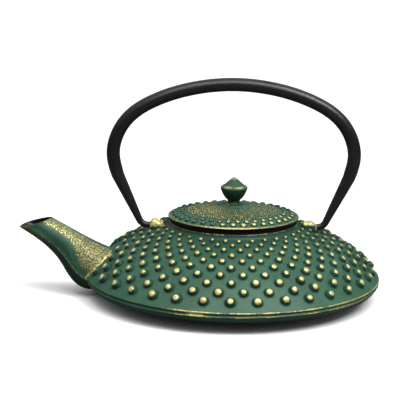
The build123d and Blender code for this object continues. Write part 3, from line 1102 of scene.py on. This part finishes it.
CROWN_Z = HANDLE_HIGH.z - GRIP_R
HANDLE_X = HANDLE_HIGH.x - GRIP_R
HALF_GRIP = [  # the centre line from beside the crown to the knee, as (x, z)
    (25.6, CROWN_Z - 2.6), (50.7, CROWN_Z - 10.6), (68.1, 118.0), (76.4, 104.0), (HANDLE_X, 94.0),
    (75.0, 80.2),
]
KNEE = HALF_GRIP[-1]
ELBOW = (59.1, HINGE_Z)
ELBOW_RADIUS = 6.5
PIN_R = 2.1
PIN_TIP_X = 44.8
HANDLE_PLAY = -0.6  # how far the loose bar sits off centre; it lies towards the spout
TAPER_HEIGHT = 37.0  # the bar thins over this height above its pins
FACETS = 0.75  # how far the legs are hammered towards an eight-sided outline
HANDLE_SIDES = 48


def elbow_corner():
    """The rounded corner between leg and pin: its start, middle and end."""
    leg = np.subtract(KNEE, ELBOW) / math.dist(KNEE, ELBOW)
    inward = np.array([-1.0, 0.0])
    half_angle = math.acos(leg @ inward) / 2
    tangent = ELBOW_RADIUS / math.tan(half_angle)
    toward = (leg + inward) / np.linalg.norm(leg + inward)
    middle = np.array(ELBOW) + toward * (ELBOW_RADIUS / math.sin(half_angle) - ELBOW_RADIUS)
    return tuple(ELBOW + leg * tangent), tuple(middle), tuple(ELBOW + inward * tangent)


def handle_line():
    """The whole centre line in the XZ plane, from the left pin over the crown to the right pin."""
    start, middle, end = elbow_corner()
    left = [(-x, z) for x, z in HALF_GRIP[::-1]]
    grip = spline(left + [(0, CROWN_Z)] + HALF_GRIP, 220)
    right = join(
        line(KNEE, start, 1.0), arc(start, middle, end, 14), line(end, (PIN_TIP_X, HINGE_Z), 1.0),
    )
    return join([(-x, z) for x, z in right[::-1]], grip, right)


def octagon(angle):
    """How far out an eight-sided outline lies, as a share of its circle."""
    return math.cos(math.pi / 8) / math.cos(angle % (math.pi / 4) - math.pi / 8)


def handle_ring(x, z, dx, dz, radius, facet):
    """A section of the bar across the direction (dx, dz), facetted by a share."""
    ring = []
    for angle in azimuths(HANDLE_SIDES):
        reach = radius * (1 - facet * (1 - octagon(angle)))
        out = reach * math.cos(angle)
        ring.append((x - dz * out + HANDLE_PLAY, reach * math.sin(angle), z + dx * out))
    return ring


def make_handle():
    """A bent bar, round over the top, facetted down its legs and thinning to its pins."""
    centre = np.array(handle_line())
    direction = np.gradient(centre, axis=0)
    direction /= np.linalg.norm(direction, axis=1)[:, None]
    rings = []
    for i, ((x, z), (dx, dz)) in enumerate(zip(centre, direction)):
        radius = PIN_R + (GRIP_R - PIN_R) * min(1.0, max(0.0, (z - HINGE_Z) / TAPER_HEIGHT))
        radius *= 1 - 0.25 * (i in (0, len(centre) - 1))
        facet = FACETS * float(smooth(100, 84, z) * smooth(HINGE_Z + 1, HINGE_Z + 8, z))
        rings.append(handle_ring(x, z, dx, dz, radius, facet))
    handle = loft("handle_bar", rings)
    shade(handle, 50)
    finish_piece(handle, "bail", "handle_black", handle_black, "handle")


make_handle()


# ---- infuser: woven wire where the solids hold plain sheets ----

WIRE_PITCH = 1.25
WIRE_D = 0.32


def weave(piece):
    """Turn each edge of the piece's grid into a wire."""
    wires = piece.modifiers.new("wires", "WIREFRAME")
    wires.thickness = WIRE_D * MM
    wires.use_even_offset = False
    apply_modifiers(piece)
    shade(piece, 60)


def make_infuser_wall():
    """Wires up and round the tapering wall."""
    half = WIRE_D / 2
    bottom_r = FLOOR_HIGH.x + 0.5 - half
    top_r = WALL_HIGH.x - half
    band_top = FLOOR_LOW.z + 3.0
    corners = [
        (bottom_r, WALL_LOW.z + half), (bottom_r, band_top),
        (top_r, RIM_LOW.z), (top_r, WALL_HIGH.z - half),
    ]
    outline = path(corners, WIRE_PITCH)
    wall = revolve("infuser_wall_wires", outline, round(math.tau * top_r / WIRE_PITCH))
    weave(wall)
    finish_piece(wall, "infuser", "infuser_mesh", wire_steel, "infuser_wall_mesh")


def drop_loose(bm):
    """Delete the vertices that no face uses."""
    loose = [vertex for vertex in bm.verts if not vertex.link_faces]
    bmesh.ops.delete(bm, geom=loose, context="VERTS")


def make_infuser_floor():
    """A square weave cut to a disc; the base ring's flange covers its edge."""
    reach = FLOOR_HIGH.x - WIRE_PITCH / 2
    count = math.floor(reach / WIRE_PITCH)
    middle_z = (FLOOR_LOW.z + FLOOR_HIGH.z) / 2
    vertices, numbers, faces = [], {}, []
    for i in range(-count, count + 1):
        for j in range(-count, count + 1):
            if math.hypot(i, j) * WIRE_PITCH <= reach:
                numbers[i, j] = len(vertices)
                vertices.append((i * WIRE_PITCH, j * WIRE_PITCH, middle_z))
    for i, j in numbers:
        corners = [(i, j), (i + 1, j), (i + 1, j + 1), (i, j + 1)]
        if all(corner in numbers for corner in corners):
            faces.append([numbers[corner] for corner in corners])
    mesh_floor = new_object("infuser_floor_wires", vertices, faces)
    edit(mesh_floor, drop_loose)
    weave(mesh_floor)
    finish_piece(mesh_floor, "infuser", "infuser_mesh", wire_steel, "infuser_floor_mesh")


make_infuser_wall()
make_infuser_floor()

for node, material in {
    "knob_rivet": rivet_steel,
    "infuser_rim": sheet_steel,
    "infuser_seam_strip": sheet_steel,
    "infuser_base_ring": sheet_steel,
}.items():
    slots = frame["nodes"][node].data.materials
    slots.clear()
    slots.append(material)


# ---- floor, lights and camera ----

AIM = Vector((-0.022, 0.0, 0.064))
DISTANCE = 1.2
ELEVATION = math.radians(12.5)
ROLL = math.radians(0.9)
LENS_MM = 166
SENSOR_MM = 36
FLOOR_HALF = 4000
HORIZON_LIGHT = 0.12
ZENITH_LIGHT = 0.95


def add_light(name, place, size, power):
    """A square soft light that faces the pot."""
    data = bpy.data.lights.new(name, "AREA")
    data.energy = power
    data.size = size
    light = link_object(name, data)
    light.location = place
    light.rotation_mode = "QUATERNION"
    light.rotation_quaternion = (Vector(place) - AIM).to_track_quat("Z", "Y")


def add_camera():
    """The camera looks slightly down at the pot, with the spout to the left."""
    data = bpy.data.cameras.new("camera")
    data.lens = LENS_MM
    data.sensor_width = SENSOR_MM
    camera = link_object("camera", data)
    back = Vector((0, -math.cos(ELEVATION), math.sin(ELEVATION)))
    camera.location = AIM + back * DISTANCE
    camera.rotation_mode = "QUATERNION"
    roll = Matrix.Rotation(ROLL, 3, "Z").to_quaternion()
    camera.rotation_quaternion = (-back).to_track_quat("-Z", "Y") @ roll
    bpy.context.scene.camera = camera


def add_floor():
    """A large square floor at the foot ring's height."""
    corners = [(x * FLOOR_HALF, y * FLOOR_HALF, 0) for x, y in ((-1, -1), (1, -1), (1, 1), (-1, 1))]
    floor = new_object("floor", corners, [[0, 1, 2, 3]])
    floor.data.materials.append(make_floor())


def add_world():
    """White to the camera; as a light, bright overhead and dim round the horizon."""
    world = bpy.data.worlds.new("studio")
    world.use_nodes = True
    tree = world.node_tree
    direction = add_node(tree, "TexCoord", {}).outputs["Generated"]
    height = add_node(tree, "SeparateXYZ", {0: direction}).outputs["Z"]
    light = ease(tree, height, 0.0, 0.9, HORIZON_LIGHT, ZENITH_LIGHT)
    seen = add_node(tree, "LightPath", {}).outputs["Is Camera Ray"]
    sky = {"Color": WHITE, "Strength": calc(tree, "MAXIMUM", light, seen)}
    plug(tree.nodes["Background"], sky)
    bpy.context.scene.world = world


add_camera()
add_floor()
add_world()
add_light("key", place=(0.46, -0.46, 0.80), size=0.50, power=9)
add_light("overhead", place=(-0.12, -0.50, 1.0), size=0.7, power=7)
bpy.context.scene.view_settings.view_transform = "Standard"
